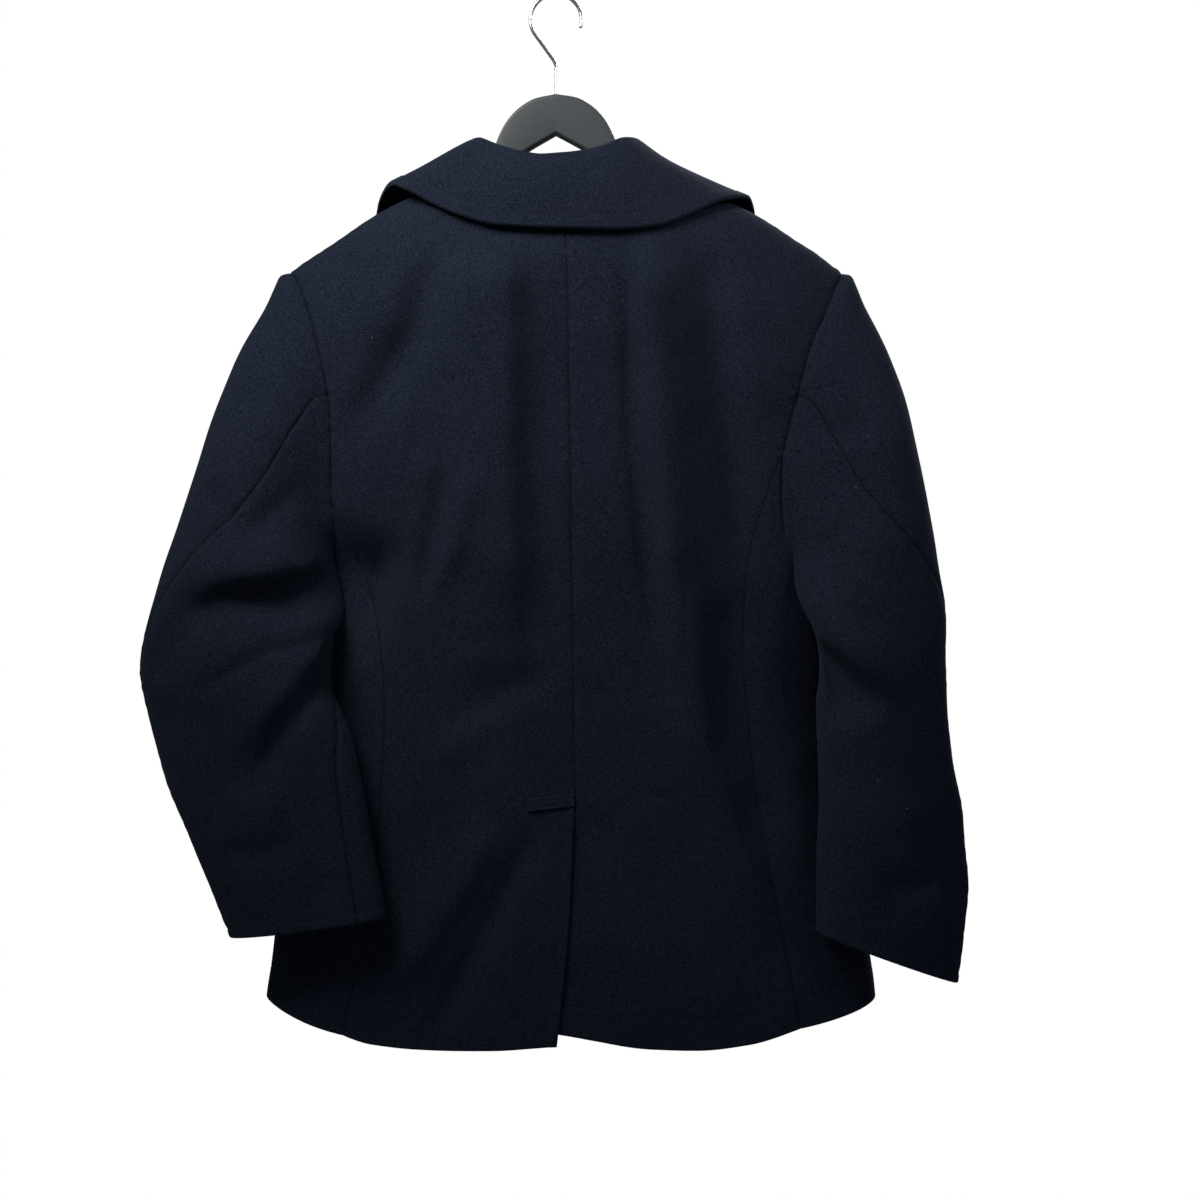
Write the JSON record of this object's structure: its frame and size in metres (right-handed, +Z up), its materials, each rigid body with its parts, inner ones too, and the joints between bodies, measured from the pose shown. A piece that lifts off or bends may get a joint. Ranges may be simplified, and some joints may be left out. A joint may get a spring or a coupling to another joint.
{
  "type": "pea coat on a clothes hanger",
  "caption": "Hip-length double-breasted wool coat with a wide turn-down collar, lapels, two-piece sleeves, welt pockets and a back vent, hung on a flat hanger with a wire hook.",
  "frame": {"origin": "inside of the hook's bend, where the hook rests on a rail", "axes": "+Z up, +Y towards the back of the coat, +X towards the wearer's left"},
  "size_m": [0.6881, 0.1841, 0.8827],
  "materials": {
    "wool": "matte navy melton wool",
    "button": "satin near-black",
    "plastic": "satin dark grey",
    "chrome": "polished"
  },
  "bodies": {
    "root": {"back_left": "wool", "back_right": "wool", "side_left": "wool", "side_right": "wool", "front_left": "wool", "front_right": "wool", "sleeve_upper_left": "wool", "sleeve_upper_right": "wool", "sleeve_under_left": "wool", "sleeve_under_right": "wool", "collar": "wool", "lapel_left": "wool", "lapel_right": "wool", "pocket_welt_left": "wool", "pocket_welt_right": "wool", "vent_bar": "wool", "button_left_1": "button", "button_left_2": "button", "button_left_3": "button", "button_left_4": "button", "button_right_1": "button", "button_right_2": "button", "button_right_3": "button", "button_right_4": "button", "hanger": "plastic", "hook": "chrome"}
  },
  "joints": []
}
